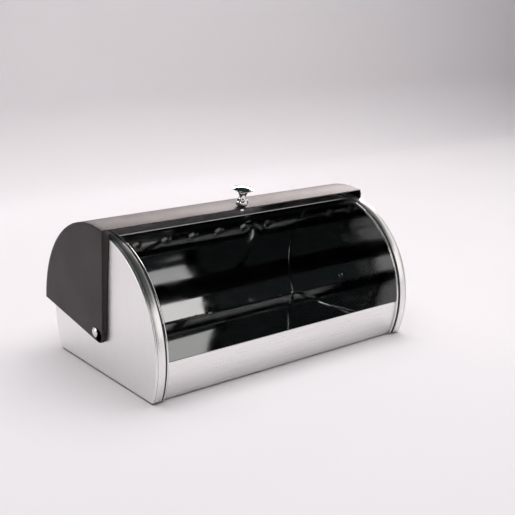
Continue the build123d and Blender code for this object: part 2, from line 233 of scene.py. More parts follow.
class Shape:
    """Points and faces that are gathered before they become one mesh."""

    def __init__(self):
        self.points = []
        self.faces = []

    def grid(self, rows, wrap_columns=False, flip=False, skip=()):
        """Add a grid of points with quads between them, and return its first index."""
        start = len(self.points)
        for row in rows:
            self.points.extend(row)
        quads = grid_faces(len(rows), len(rows[0]), wrap_columns, start)
        skipped = {start + s for s in skip}
        quads = [q for q in quads if q[0] not in skipped]
        self.faces.extend(tuple(reversed(q)) if flip else q for q in quads)
        return start

    def cap(self, indices, flip=False):
        """Close an end with one face."""
        self.faces.append(tuple(reversed(indices)) if flip else tuple(indices))

    def build(self, name, *materials, smooth_angle=radians(38)):
        """Make the object with its materials, smooth where its faces meet gently."""
        mesh = bpy.data.meshes.new(name)
        mesh.from_pydata(self.points, [], self.faces)
        work = bmesh.new()
        work.from_mesh(mesh)
        bmesh.ops.remove_doubles(work, verts=work.verts, dist=1e-6)
        work.to_mesh(mesh)
        work.free()
        mesh.validate()
        mesh.shade_smooth()
        mesh.set_sharp_from_angle(angle=smooth_angle)
        for material in materials:
            mesh.materials.append(material)
        piece = bpy.data.objects.new(name, mesh)
        bpy.context.scene.collection.objects.link(piece)
        return piece


def thicken(piece, thickness, inside_slot=0):
    """Give a surface its sheet thickness, away from its normals."""
    solid = piece.modifiers.new("sheet", "SOLIDIFY")
    solid.thickness = thickness
    solid.offset = -1
    solid.use_even_offset = True
    solid.material_offset = inside_slot


def soften_edges(piece, width, segments=2):
    """Round the cut edges of a piece."""
    bevel = piece.modifiers.new("edges", "BEVEL")
    bevel.width = width
    bevel.segments = segments
    bevel.limit_method = "ANGLE"
    bevel.angle_limit = radians(50)
    bevel.harden_normals = True


def settle(piece, body, slot, *nodes):
    """Apply the modifiers, put the finished piece under its body and hide its CAD nodes; the slot
    is not used.
    """
    bpy.context.view_layer.objects.active = piece
    for modifier in list(piece.modifiers):
        with bpy.context.temp_override(object=piece, active_object=piece):
            bpy.ops.object.modifier_apply(modifier=modifier.name)
    piece.data.set_sharp_from_angle(angle=radians(50))
    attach(piece, body)
    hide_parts(*nodes)


def drum_outline(radius, flat_below, corner, step=2.2 * MM, closed=True):
    """Points and outward normals round a disc with a flat bottom and rounded lower corners.

    It starts at the front corner's lower end and runs up over the top to the back.
    """
    reach = sqrt((radius - corner) ** 2 - (flat_below - corner) ** 2)
    low = asin((flat_below - corner) / (radius - corner))
    corner_z = DRUM[1] - flat_below + corner
    outline = []
    for point in arc((DRUM[0] - reach, corner_z), corner, -pi / 2, -pi + low, 0.5 * MM)[:-1]:
        outline.append((point, (point[0] - DRUM[0] + reach, point[1] - corner_z)))
    for point in arc(DRUM, radius, pi + low, -low, step):
        outline.append((point, (point[0] - DRUM[0], point[1] - DRUM[1])))
    for point in arc((DRUM[0] + reach, corner_z), corner, -low, -pi / 2, 0.5 * MM)[1:]:
        outline.append((point, (point[0] - DRUM[0] - reach, point[1] - corner_z)))
    if closed:
        base = DRUM[1] - flat_below
        for y in even_steps(DRUM[0] + reach, DRUM[0] - reach, 8 * MM)[1:-1]:
            outline.append(((y, base), (0, -1)))
    return [(point, Vector(normal).normalized()) for point, normal in outline]


def hoop(name, material, outline, section):
    """Sweep a closed section of (x, outward) points along an outline, with its ends closed."""
    shape = Shape()
    rows = []
    for (y, z), normal in outline:
        rows.append([(x, y + out * normal[0], z + out * normal[1]) for x, out in section])
    start = shape.grid(rows, wrap_columns=True, flip=True)
    count = len(section)
    shape.cap([start + i for i in range(count)])
    last = start + count * (len(rows) - 1)
    shape.cap([last + i for i in range(count)], flip=True)
    return shape.build(name, material)


def rounded_section(ends, high, edge, crown=0):
    """A closed rectangle of (x, outward) points with rounded outer corners, or a full crown."""
    low_x, high_x = sorted(ends)
    middle, half = (low_x + high_x) / 2, (high_x - low_x) / 2
    points = [(low_x, 0), (high_x, 0)]
    for i in range(13):
        turn = pi * i / 12
        if crown:
            points.append((middle + half * cos(turn), high - crown + crown * sin(turn)))
        else:
            side = half - edge if i < 7 else edge - half
            points.append((middle + side + edge * cos(turn), high - edge + edge * sin(turn)))
    return points


def turned(name, material, profile, origin, axis, across, segments):
    """Revolve (radius, height) points that start and end on the axis."""
    shape = Shape()
    side = axis.cross(across).normalized()
    rings = []
    for radius, height in profile:
        ring = []
        for i in range(segments):
            turn = 2 * pi * i / segments
            out = across * cos(turn) + side * sin(turn)
            ring.append(tuple(origin + axis * height + out * max(radius, 0)))
        rings.append(ring)
    shape.grid(rings[1:-1], wrap_columns=True)
    base = len(shape.points)
    shape.points.append(tuple(origin + axis * profile[0][1]))
    shape.points.append(tuple(origin + axis * profile[-1][1]))
    last = segments * (len(rings) - 3)
    for i in range(segments):
        following = (i + 1) % segments
        shape.faces.append((base, following, i))
        shape.faces.append((base + 1, last + i, last + following))
    return shape.build(name, material, smooth_angle=radians(30))


# --- material helpers -------------------------------------------------------------------------

def add_node(tree, kind, links=None, inputs=None, stops=(), into=None, **settings):
    """Add a node, set its settings, inputs and colour stops, and link it both ways.

    links feeds its inputs, and into is a socket that its first output feeds.  A stop is a
    position and a colour or grey.
    """
    node = tree.nodes.new(kind)
    for key, value in settings.items():
        setattr(node, key, value)
    for key, value in (inputs or {}).items():
        node.inputs[key].default_value = value
    for key, source in (links or {}).items():
        tree.links.new(source, node.inputs[key])
    for element, (position, value) in zip(node.color_ramp.elements if stops else (), stops):
        colour = (value, value, value) if isinstance(value, (int, float)) else value
        element.position = position
        element.color = (*colour[:3], 1)
    if into:
        tree.links.new(node.outputs[0], into)
    return node


def start_material(name, **shader):
    """A new material, its principled shader with constants set, and object coordinates."""
    material = bpy.data.materials.new(name)
    material.use_nodes = True
    tree = material.node_tree
    tree.nodes.clear()
    principled = add_node(tree, "ShaderNodeBsdfPrincipled", inputs=shader)
    add_node(tree, "ShaderNodeOutputMaterial", links={"Surface": principled.outputs["BSDF"]})
    place = add_node(tree, "ShaderNodeTexCoord").outputs["Object"]
    return material, tree, principled, place


def sized_pattern(tree, coordinates, size_mm, stretch=(1, 1, 1), detail=3.0, roughness=0.55):
    """A noise pattern size_mm wide, drawn out along an axis where stretch is over 1."""
    per_metre = tuple(1000 / (size_mm * s) for s in stretch)
    # The shift keeps flat faces off the noise's own grid planes, where it fades out.
    mapped = add_node(
        tree, "ShaderNodeMapping", links={"Vector": coordinates},
        inputs={"Scale": per_metre, "Location": (3.37, 7.61, 5.43)},
    )
    node = add_node(
        tree, "ShaderNodeTexNoise", links={"Vector": mapped.outputs["Vector"]},
        inputs={"Scale": 1.0, "Detail": detail, "Roughness": roughness},
    )
    return node.outputs["Fac"]


def drum_coordinates(tree, place):
    """Coordinates (x, arc length, 0) unrolled from the drum, so that grain follows it."""
    split = add_node(tree, "ShaderNodeSeparateXYZ", links={"Vector": place})
    across = add_node(
        tree, "ShaderNodeMath", operation="SUBTRACT", links={0: split.outputs["Y"]},
        inputs={1: DRUM[0]},
    )
    up = add_node(
        tree, "ShaderNodeMath", operation="SUBTRACT", links={0: split.outputs["Z"]},
        inputs={1: DRUM[1]},
    )
    turn = add_node(
        tree, "ShaderNodeMath", operation="ARCTAN2",
        links={0: up.outputs[0], 1: across.outputs[0]},
    )
    length = add_node(
        tree, "ShaderNodeMath", operation="MULTIPLY", links={0: turn.outputs[0]},
        inputs={1: SIZE["panel_radius"]},
    )
    joined = add_node(
        tree, "ShaderNodeCombineXYZ", links={"X": split.outputs["X"], "Y": length.outputs[0]}
    )
    return joined.outputs["Vector"]


def finish_settings():
    """The scene's finish settings."""
    return bpy.context.scene.bread_box_finish


def size_settings():
    """The scene's sheet-metal sizes."""
    return bpy.context.scene.bread_box_sizes


def existing(name):
    """A material that was already made, or None."""
    return bpy.data.materials.get(name)


def brushed_stainless(name, grain_axis, unrolled=False, roughness=0.3):
    """304 stainless sheet with a brushed finish: fine parallel lines that blur reflections."""
    if existing(name):
        return existing(name)
    finish = finish_settings()
    material, tree, shader, place = start_material(name, Metallic=1.0, Roughness=roughness)
    if unrolled:
        place = drum_coordinates(tree, place)
    # A real brushed line is about 0.1 mm wide; it is drawn coarser so that it shows.
    stretch = [1, 1, 1]
    stretch["XYZ".index(grain_axis)] = 90
    lines = sized_pattern(tree, place, finish.grain_mm, stretch, detail=4)
    clouds = sized_pattern(tree, place, 70, detail=2)
    waves = sized_pattern(tree, place, finish.wave_mm, detail=1)
    steel = tuple(finish.steel)
    darker = tuple(c * 0.93 for c in steel)
    add_node(
        tree, "ShaderNodeValToRGB", links={"Fac": lines}, into=shader.inputs["Base Color"],
        stops=[(0.3, darker), (0.7, steel)],
    )
    blurred = add_node(
        tree, "ShaderNodeValToRGB", links={"Fac": lines},
        stops=[(0.25, roughness - 0.05), (0.75, roughness + 0.06)],
    ).outputs["Color"]
    cloudy = add_node(
        tree, "ShaderNodeValToRGB", links={"Fac": clouds},
        stops=[(0.3, 0.92), (0.7, 1.08)],
    ).outputs["Color"]
    add_node(
        tree, "ShaderNodeMath", operation="MULTIPLY", links={0: blurred, 1: cloudy},
        into=shader.inputs["Roughness"],
    )
    slow = add_node(
        tree, "ShaderNodeBump", links={"Height": waves},
        inputs={"Strength": 0.25, "Distance": 0.25 * MM},
    )
    add_node(
        tree, "ShaderNodeBump", links={"Height": lines, "Normal": slow.outputs["Normal"]},
        inputs={"Strength": 0.10, "Distance": 0.02 * MM}, into=shader.inputs["Normal"],
    )
    return material


def bright_stainless():
    """Bright annealed stainless: mirror smooth, with the slow waves and handling marks of sheet."""
    name = "bright_annealed_stainless"
    if existing(name):
        return existing(name)
    finish = finish_settings()
    material, tree, shader, place = start_material(name, Metallic=1.0, Roughness=0.06)
    shader.inputs["Base Color"].default_value = (*finish.bright_steel, 1)
    waves = sized_pattern(tree, place, finish.wave_mm, (2.5, 1, 1), detail=1.5)
    lines = sized_pattern(tree, place, 1.6, (60, 1, 1), detail=3)
    smears = sized_pattern(tree, place, 22, (1.6, 1, 1), detail=5, roughness=0.6)
    add_node(
        tree, "ShaderNodeValToRGB", links={"Fac": smears}, into=shader.inputs["Roughness"],
        stops=[(0.35, 0.045), (0.75, 0.14)],
    )
    slow = add_node(
        tree, "ShaderNodeBump", links={"Height": waves},
        inputs={"Strength": 0.5, "Distance": 0.5 * MM},
    )
    add_node(
        tree, "ShaderNodeBump", links={"Height": lines, "Normal": slow.outputs["Normal"]},
        inputs={"Strength": 0.04, "Distance": 0.02 * MM}, into=shader.inputs["Normal"],
    )
    return material


def bright_chrome():
    """Chrome plate over turned steel: clear dark and bright reflections with faint tool rings."""
    name = "bright_chrome_plate"
    if existing(name):
        return existing(name)
    material, tree, shader, place = start_material(name, Metallic=1.0, Roughness=0.07)
    smears = sized_pattern(tree, place, 6, detail=4)
    chrome = tuple(finish_settings().chrome)
    add_node(
        tree, "ShaderNodeValToRGB", links={"Fac": smears}, into=shader.inputs["Base Color"],
        stops=[(0.3, tuple(c * 0.95 for c in chrome)), (0.7, chrome)],
    )
    add_node(
        tree, "ShaderNodeValToRGB", links={"Fac": smears}, into=shader.inputs["Roughness"],
        stops=[(0.35, 0.05), (0.8, 0.13)],
    )
    rings = sized_pattern(tree, place, 0.6, detail=2)
    add_node(
        tree, "ShaderNodeBump", links={"Height": rings},
        inputs={"Strength": 0.03, "Distance": 0.01 * MM}, into=shader.inputs["Normal"],
    )
    return material


def satin_enamel():
    """Stoved dark enamel on steel: even colour, satin gloss, and a fine orange-peel surface."""
    name = "stoved_satin_enamel"
    if existing(name):
        return existing(name)
    finish = finish_settings()
    material, tree, shader, place = start_material(
        name, Metallic=0.0, Roughness=0.5, IOR=1.45,
        **{"Specular Tint": (*linear("#FFEFF0"), 1)},
    )
    clouds = sized_pattern(tree, place, 45, detail=3)
    paint = tuple(finish.paint)
    thin, thick = (tuple(c * share for c in paint) for share in (0.93, 1.05))
    colour = add_node(
        tree, "ShaderNodeValToRGB", links={"Fac": clouds},
        stops=[(0.3, thin), (0.7, thick)],
    ).outputs["Color"]
    # Painted highlight: the enamel is painted lighter along cut and folded edges, broken up by a
    # fine noise pattern, to stand in for the light those edges catch.
    point = add_node(tree, "ShaderNodeNewGeometry").outputs["Pointiness"]
    edge = add_node(
        tree, "ShaderNodeValToRGB", links={"Fac": point},
        stops=[(0.52, 0.0), (0.60, 1.0)],
    ).outputs["Color"]
    highlight_breakup = sized_pattern(tree, place, 3, detail=4)
    painted_edge_highlight = add_node(tree, "ShaderNodeMath", operation="MULTIPLY", links={0: edge, 1: highlight_breakup})
    mixed = add_node(
        tree, "ShaderNodeMix", data_type="RGBA",
        links={"Factor": painted_edge_highlight.outputs[0], "A": colour},
        inputs={"B": (*(min(1, c * 3.2) for c in paint), 1)},
    )
    tree.links.new(mixed.outputs["Result"], shader.inputs["Base Color"])
    add_node(
        tree, "ShaderNodeValToRGB", links={"Fac": clouds}, into=shader.inputs["Roughness"],
        stops=[(0.3, 0.44), (0.7, 0.52)],
    )
    # Orange peel is about 1 mm across.
    peel = sized_pattern(tree, place, 1.2, detail=2)
    add_node(
        tree, "ShaderNodeBump", links={"Height": peel},
        inputs={"Strength": 0.12, "Distance": 0.03 * MM}, into=shader.inputs["Normal"],
    )
    return material


def moulded_rubber(name, gloss=0.55):
    """Moulded black rubber or nylon: slightly dusty, with a soft broad shine.

    The seals and feet are EPDM rubber; the spacers are nylon, which is a little glossier.
    """
    if existing(name):
        return existing(name)
    material, tree, shader, place = start_material(name, Metallic=0.0, Roughness=gloss, IOR=1.5)
    dust = sized_pattern(tree, place, 4, detail=5)
    rubber = tuple(finish_settings().rubber)
    dusty = tuple(c * 1.7 + 0.004 for c in rubber)
    add_node(
        tree, "ShaderNodeValToRGB", links={"Fac": dust}, into=shader.inputs["Base Color"],
        stops=[(0.4, rubber), (0.8, dusty)],
    )
    add_node(
        tree, "ShaderNodeValToRGB", links={"Fac": dust}, into=shader.inputs["Roughness"],
        stops=[(0.3, gloss - 0.07), (0.7, gloss + 0.1)],
    )
    grit = sized_pattern(tree, place, 0.5, detail=2)
    add_node(
        tree, "ShaderNodeBump", links={"Height": grit},
        inputs={"Strength": 0.2, "Distance": 0.03 * MM}, into=shader.inputs["Normal"],
    )
    return material


# --- pieces -----------------------------------------------------------------------------------

def finish_node(node, material):
    """Give a CAD node that is kept as it is a finish of its own."""
    mesh = frame["nodes"][node].data
    mesh.materials.clear()
    mesh.materials.append(material)


def panel_base_angle():
    """Angle below the drum's centre at which the curved panels meet the underside."""
    return asin((DRUM[1] - SIZE["base_z"]) / SIZE["panel_radius"])


def rows_across(points, columns):
    """One row of points across the drum for each (y, z) point of a section."""
    return [[(x, y, z) for x in columns] for y, z in points]


def flare(shape):
    """Curl the panels' ends out into the end caps' collars, which leaves a bright line."""
    rise = 0.8 * MM
    for i, (x, y, z) in enumerate(shape.points):
        end = abs(x) - (SIZE["panel_x"] - CURL)
        out = hypot(y - DRUM[0], z - DRUM[1])
        if end > 0 and out > SIZE["panel_radius"] - 0.05 * MM:
            scale = 1 + rise * (end / CURL) ** 2 / out
            curled = [c + (v - c) * scale for c, v in zip(DRUM, (y, z))]
            shape.points[i] = (x, *curled)


def panel_columns(half, step):
    """Positions across a panel, close together where its ends curl."""
    inner = half - CURL
    curl = even_steps(inner, half, CURL_STEP)
    return [-x for x in reversed(curl)] + even_steps(-inner, inner, step)[1:-1] + curl


def hem_points(centre_angle, sign, radius):
    """The fold and the inner leaf of a hem that starts at an angle on the drum."""
    sheet = SIZE["sheet"]
    # The leaf lies one sheet inside the panel's own inner face.
    mid = radius - sheet
    fold = []
    for i in range(1, 7):
        turn = pi * i / 6
        out = mid + sheet * 1.02 * cos(turn)
        along = centre_angle + sign * sheet * sin(turn) / mid
        fold.append((DRUM[0] + out * cos(along), DRUM[1] + out * sin(along)))
    leaf_radius = mid - sheet * 1.02
    leaf_sweep = size_settings().hem_depth / leaf_radius
    leaf = arc(DRUM, leaf_radius, centre_angle, centre_angle - sign * leaf_sweep)
    return fold + leaf[1:]


class BREADBOX_OT_front_panel(bpy.types.Operator):
    """Roll the low front strip, with its hemmed top edge and folded foot"""

    bl_idname = "breadbox.front_panel"
    bl_label = "Front panel"

    def execute(self, context):
        radius = SIZE["panel_radius"]
        top = pi + asin((DRUM[1] - SIZE["strip_top_z"]) / radius) + SIZE["sheet"] / radius
        bottom = pi + panel_base_angle()
        foot_y = DRUM[0] - radius * cos(panel_base_angle())
        foot = straight((foot_y + FLANGE, SIZE["base_z"]), (foot_y, SIZE["base_z"]), 6)
        section = foot[:-1] + arc(DRUM, radius, bottom, top)
        section += hem_points(top, -1, radius)
        shape = Shape()
        shape.grid(rows_across(section, panel_columns(SIZE["panel_x"], COLUMN)))
        flare(shape)
        satin = brushed_stainless("brushed_stainless_strip", "X", unrolled=True)
        piece = shape.build("front_strip", satin, bright_stainless())
        thicken(piece, SIZE["sheet"], inside_slot=1)
        soften_edges(piece, size_settings().edge_round)
        settle(piece, "root", "panel_steel", "front_panel")
        return {"FINISHED"}


class BREADBOX_OT_back_panel(bpy.types.Operator):
    """Roll the back panel over the top, with a row of dished vent holes"""

    bl_idname = "breadbox.back_panel"
    bl_label = "Back panel"

    def execute(self, context):
        sizes = size_settings()
        radius = SIZE["panel_radius"]
        cell = 24 * MM
        cell_steps = 8
        # The hem's fold stands one sheet beyond the arc.
        back_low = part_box("back_panel")[0]
        top = acos((back_low.y - DRUM[0]) / radius) - SIZE["sheet"] / radius
        low_edge = sizes.vent_angle - cell / 2 / radius
        high_edge = sizes.vent_angle + cell / 2 / radius
        foot_y = DRUM[0] + radius * cos(panel_base_angle())
        foot = straight((foot_y - FLANGE, SIZE["base_z"]), (foot_y, SIZE["base_z"]), 6)
        below = arc(DRUM, radius, -panel_base_angle(), low_edge)
        vent_band = [
            low_edge + (high_edge - low_edge) * i / cell_steps for i in range(cell_steps + 1)
        ]
        beside = [(DRUM[0] + radius * cos(a), DRUM[1] + radius * sin(a)) for a in vent_band]
        above = arc(DRUM, radius, high_edge, top)
        section = foot[:-1] + below + beside[1:] + above[1:] + hem_points(top, 1, radius)
        first_row = len(foot) - 1 + len(below) - 1

        half_row = sizes.vent_pitch * (sizes.vent_count - 1) / 2
        vents = [-half_row + sizes.vent_pitch * i for i in range(sizes.vent_count)]
        curl = even_steps(SIZE["panel_x"] - CURL, SIZE["panel_x"], CURL_STEP)
        columns = [-x for x in reversed(curl)]
        first_columns = []
        for x in vents:
            columns += even_steps(columns[-1], x - cell / 2, 6 * MM)[1:]
            first_columns.append(len(columns) - 1)
            columns += even_steps(columns[-1], x + cell / 2, cell / cell_steps * 1.001)[1:]
        columns += even_steps(columns[-1], curl[0], 6 * MM)[1:] + curl[1:]
        skip = set()
        for start in first_columns:
            for i in range(cell_steps):
                for j in range(cell_steps):
                    skip.add((first_row + i) * len(columns) + start + j)
        shape = Shape()
        shape.grid(rows_across(section, columns), flip=True, skip=skip)
        for x in vents:
            self.add_vent(shape, x, cell / 2, cell_steps)
        flare(shape)
        satin = brushed_stainless("brushed_stainless_back", "X", unrolled=True)
        piece = shape.build("back_shell", satin, bright_stainless())
        for face in piece.data.polygons:
            # The sheet's bright inside is folded outwards at the hem.
            if face.center.y < back_low.y + 0.3 * MM:
                face.material_index = 1
        thicken(piece, SIZE["sheet"], inside_slot=1)
        soften_edges(piece, sizes.edge_round)
        settle(piece, "root", "panel_steel", "back_panel")
        return {"FINISHED"}

    def add_vent(self, shape, x, half, steps):
        """Fill a square gap with rings that run from its edge to the vent hole."""
        sizes = size_settings()
        edge = [-half + 2 * half * i / steps for i in range(steps)]
        square = [(e, -half) for e in edge] + [(half, e) for e in edge]
        square += [(-e, half) for e in edge] + [(-half, -e) for e in edge]
        wide, narrow, rise = sizes.vent_dish, sizes.vent_hole, sizes.vent_rise
        rings = [self.on_drum(x, square, 0)]
        for share in (1.18, 1.06, 1.0, 0.9, 0.75, 0.6, 0.45, 0.3, 0.16, 0.07, 0.0):
            ring_radius = narrow + (wide - narrow) * share
            smooth = min(1, max(0, 1 - share))
            lift = rise * smooth * smooth * (3 - 2 * smooth)
            circle = []
            for u, v in square:
                length = hypot(u, v)
                circle.append((u / length * ring_radius, v / length * ring_radius))
            rings.append(self.on_drum(x, circle, lift))
        shape.grid(rings, wrap_columns=True, flip=True)

    def on_drum(self, x, flat_points, lift):
        """Wrap flat (along x, along the arc) points round the drum."""
        radius = SIZE["panel_radius"]
        wrapped = []
        for u, v in flat_points:
            angle = size_settings().vent_angle + v / radius
            out = radius + lift
            wrapped.append(
                (x + u, DRUM[0] + out * cos(angle), DRUM[1] + out * sin(angle))
            )
        return wrapped


class BREADBOX_OT_floor_panel(bpy.types.Operator):
    """Lay the flat floor panel"""

    bl_idname = "breadbox.floor_panel"
    bl_label = "Floor panel"

    def execute(self, context):
        shape = Shape()
        half = SIZE["floor_y"]
        middle = DRUM[0]
        columns = even_steps(-SIZE["panel_x"], SIZE["panel_x"], COLUMN)
        section = straight((middle - half, SIZE["floor_z"]), (middle + half, SIZE["floor_z"]), 20)
        shape.grid(rows_across(section, columns))
        piece = shape.build("floor_sheet", bright_stainless())
        thicken(piece, SIZE["sheet"])
        soften_edges(piece, size_settings().edge_round)
        settle(piece, "root", "panel_steel", "floor_panel")
        return {"FINISHED"}


class BREADBOX_OT_end_plates(bpy.types.Operator):
    """Press the two end plates, flat discs with a rolled edge and a collar"""

    bl_idname = "breadbox.end_plates"
    bl_label = "End plates"

    def execute(self, context):
        for side, hand in SIDES:
            self.press(side, hand)
        return {"FINISHED"}

    def press(self, side, hand):
        sizes = size_settings()
        face_x = SIZE["plate_x"][1]
        edge = sizes.plate_edge_round
        edge_depth = 2.1 * MM
        flat_below = DRUM[1] - SIZE["base_z"]
        outline = drum_outline(SIZE["plate_radius"], flat_below, 3 * MM)
        profile = [(edge_depth, 0)]
        for i in range(7):
            turn = pi / 2 * i / 6
            profile.append((edge * (1 - sin(turn)), edge * (1 - cos(turn))))
        rows = []
        for depth, inset in profile:
            rows.append([
                (hand * (face_x - depth), y - inset * n[0], z - inset * n[1])
                for (y, z), n in outline
            ])
        rim = rows[-1]
        hole = []
        for x, y, z in rim:
            turn = atan2(z - PIVOT[1], y - PIVOT[0])
            hole.append((
                x, PIVOT[0] + RIVET_SHANK * cos(turn), PIVOT[1] + RIVET_SHANK * sin(turn)
            ))
        for share in (0.015, 0.06, 0.14, 0.26, 0.4, 0.55, 0.7, 0.83, 0.92, 0.97, 1.0):
            rows.append([
                tuple(a + (b - a) * share for a, b in zip(outer, inner))
                for outer, inner in zip(rim, hole)
            ])
        shape = Shape()
        shape.grid(rows, wrap_columns=True, flip=hand > 0)
        collar = SIZE["band_radius"] - BAND_WALL
        low = asin((flat_below - 4 * MM) / collar)
        path = arc(DRUM, collar, pi + low, -low)
        ends = even_steps(hand * SIZE["plate_x"][0], hand * (face_x - 1.2 * MM), 3 * MM)
        shape.grid([[(x, y, z) for x in ends] for y, z in path], flip=hand < 0)
        satin = brushed_stainless("satin_stainless_ends", "Z", roughness=0.32)
        piece = shape.build(f"{side}_end_disc", satin, bright_stainless())
        thicken(piece, PLATE_SHEET, inside_slot=1)
        settle(piece, "root", "end_steel", f"{side}_end_plate")


class BREADBOX_OT_rim_trim(bpy.types.Operator):
    """Fit the bright rim bands, the black seals and the polished beads"""

    bl_idname = "breadbox.rim_trim"
    bl_label = "Rim bands, seals and beads"

    def execute(self, context):
        flat_below = DRUM[1] - SIZE["base_z"]
        for side, hand in SIDES:
            outline = drum_outline(
                SIZE["band_radius"] - BAND_WALL, flat_below - BAND_WALL, 1.5 * MM, closed=False
            )
            section = rounded_section([hand * x for x in SIZE["band_x"]], BAND_WALL, 0.4 * MM)
            satin = brushed_stainless(
                "brushed_stainless_bands", "Y", unrolled=True, roughness=0.29
            )
            band = hoop(f"{side}_rim_hoop", satin, outline, section)
            settle(band, "root", "band_steel", f"{side}_rim_band")
            self.ring(side, hand, "seal", "seal_line", moulded_rubber("epdm_seal"), 0)
            self.ring(side, hand, "bead", "bright_bead", bright_chrome(), BEAD_CROWN)
        return {"FINISHED"}

    def ring(self, side, hand, kind, name, material, crown):
        outer = SIZE[f"{kind}_radius"]
        inner = SIZE["panel_radius"] + 0.1 * MM
        low = asin((DRUM[1] - SIZE["rim_low_z"]) / SIZE["bead_radius"])
        path = arc(DRUM, inner, pi + low, -low)
        outline = [
            ((y, z), Vector((y - DRUM[0], z - DRUM[1])).normalized()) for y, z in path
        ]
        ends = [hand * x for x in SIZE[f"{kind}_x"]]
        section = rounded_section(ends, outer - inner, 0.25 * MM, crown)
        piece = hoop(f"{side}_{name}", material, outline, section)
        node = {"seal": "seal_ring", "bead": "edge_bead"}[kind]
        slot = {"seal": "seal_rubber", "bead": "bead_chrome"}[kind]
        settle(piece, "root", slot, f"{side}_{node}")


class BREADBOX_OT_lid_roof(bpy.types.Operator):
    """Roll the lid's roof"""

    bl_idname = "breadbox.lid_roof"
    bl_label = "Lid roof"

    def execute(self, context):
        section = arc(PIVOT, SIZE["lid_radius"], SIZE["lid_back"], SIZE["lid_lip"], 1.8 * MM)
        shape = Shape()
        columns = even_steps(-SIZE["lid_x"], SIZE["lid_x"], 8 * MM)
        shape.grid(rows_across(section, columns), flip=True)
        piece = shape.build("lid_shell", satin_enamel(), bright_stainless())
        thicken(piece, ROOF_SHEET, inside_slot=1)
        soften_edges(piece, size_settings().edge_round, 3)
        settle(piece, "lid", "lid_paint", "lid_roof")
        return {"FINISHED"}


class BREADBOX_OT_lid_cheeks(bpy.types.Operator):
    """Cut and fold the lid's two cheeks"""

    bl_idname = "breadbox.lid_cheeks"
    bl_label = "Lid cheeks"

    def execute(self, context):
        for side, hand in SIDES:
            self.fold(side, hand)
        return {"FINISHED"}

    def outline(self, inset):
        """The sector's outline shrunk by inset: straight edges, arc and rounded apex.

        Each entry is a point about the pivot, its share of the full fold, its share of the
        fold's lean, and the outward direction in which the fold leans.
        """
        # How far the lower and front edges pass from the pivot, and how steep they are.
        low, lead, front, lower = 9.5 * MM, 17 * MM, radians(95), radians(9)
        radius = SIZE["lid_radius"] - ROOF_SHEET - inset
        along_low = Vector((cos(lower), sin(lower)))
        out_low = Vector((along_low.y, -along_low.x))
        along_front = Vector((cos(front), sin(front)))
        out_front = Vector((-along_front.y, along_front.x))
        apex_round = 9 * MM
        # Centre of the apex's round: that far inside both straight edges.
        depth_low = low - apex_round
        depth_front = lead - apex_round
        cross = out_low.x * out_front.y - out_low.y * out_front.x
        middle = Vector((
            (depth_low * out_front.y - depth_front * out_low.y) / cross,
            (out_low.x * depth_front - out_front.x * depth_low) / cross,
        ))
        start_low = middle + out_low * (apex_round - inset)
        start_front = middle + out_front * (apex_round - inset)
        back = lower - asin((low - inset) / radius)
        lip = front + asin((lead - inset) / radius)
        back_corner = Vector((radius * cos(back), radius * sin(back)))
        lip_corner = Vector((radius * cos(lip), radius * sin(lip)))
        shares = [i / 30 for i in range(30)] + [0.985, 1.0]
        points = []
        for t in shares:
            points.append((start_low.lerp(back_corner, t), float(t < 1), 0.0, out_front))
        for i in range(1, 90):
            turn = back + (lip - back) * i / 90
            points.append((Vector((radius * cos(turn), radius * sin(turn))), 0.0, 0.0, out_front))
        for t in reversed(shares):
            points.append((start_front.lerp(lip_corner, t), float(t < 1), t, out_front))
        first = atan2(out_front.y, out_front.x)
        last = atan2(out_low.y, out_low.x) + 2 * pi
        for i in range(1, 12):
            turn = first + (last - first) * i / 12
            edge = Vector((cos(turn), sin(turn))) * (apex_round - inset)
            points.append((middle + edge, 1.0, 0.0, out_front))
        return points

    def fold(self, side, hand):
        sheet = SIZE["sheet"]
        bend = 1.1 * MM
        face_x = SIZE["lid_x"]
        free = SIZE["fold"]
        lean = size_settings().fold_lean
        rows = []
        for share in (1.0, 0.75, 0.5, 0.25, 0.0):
            row = []
            for point, fold, along, forward in self.outline(0):
                depth = bend + (free - bend) * share * fold
                shift = lean * along * fold * max(0, depth - bend) / (free - bend)
                place = point + forward * shift
                row.append((hand * (face_x - depth), place.x, place.y))
            rows.append(row)
        for i in range(1, 6):
            turn = pi / 2 * i / 5
            inset = bend * (1 - cos(turn))
            x = hand * (face_x - bend * (1 - sin(turn)))
            rows.append([(x, point.x, point.y) for point, *_ in self.outline(inset)])
        rim = rows[-1]
        hole_radius = 3.06 * MM  # runs free on the rivet's shank
        for share in (0.03, 0.1, 0.2, 0.32, 0.46, 0.6, 0.74, 0.86, 0.94, 1.0):
            row = []
            for x, y, z in rim:
                turn = atan2(z, y)
                hole = (x, hole_radius * cos(turn), hole_radius * sin(turn))
                row.append(tuple(a + (b - a) * share for a, b in zip((x, y, z), hole)))
            rows.append(row)
        placed = [
            [(x, y + PIVOT[0], z + PIVOT[1]) for x, y, z in row] for row in rows
        ]
        shape = Shape()
        shape.grid(placed, wrap_columns=True, flip=hand < 0)
        piece = shape.build(f"{side}_cheek_plate", satin_enamel(), smooth_angle=radians(45))
        thicken(piece, sheet)
        settle(piece, "lid", "lid_paint", f"lid_{side}_cheek")


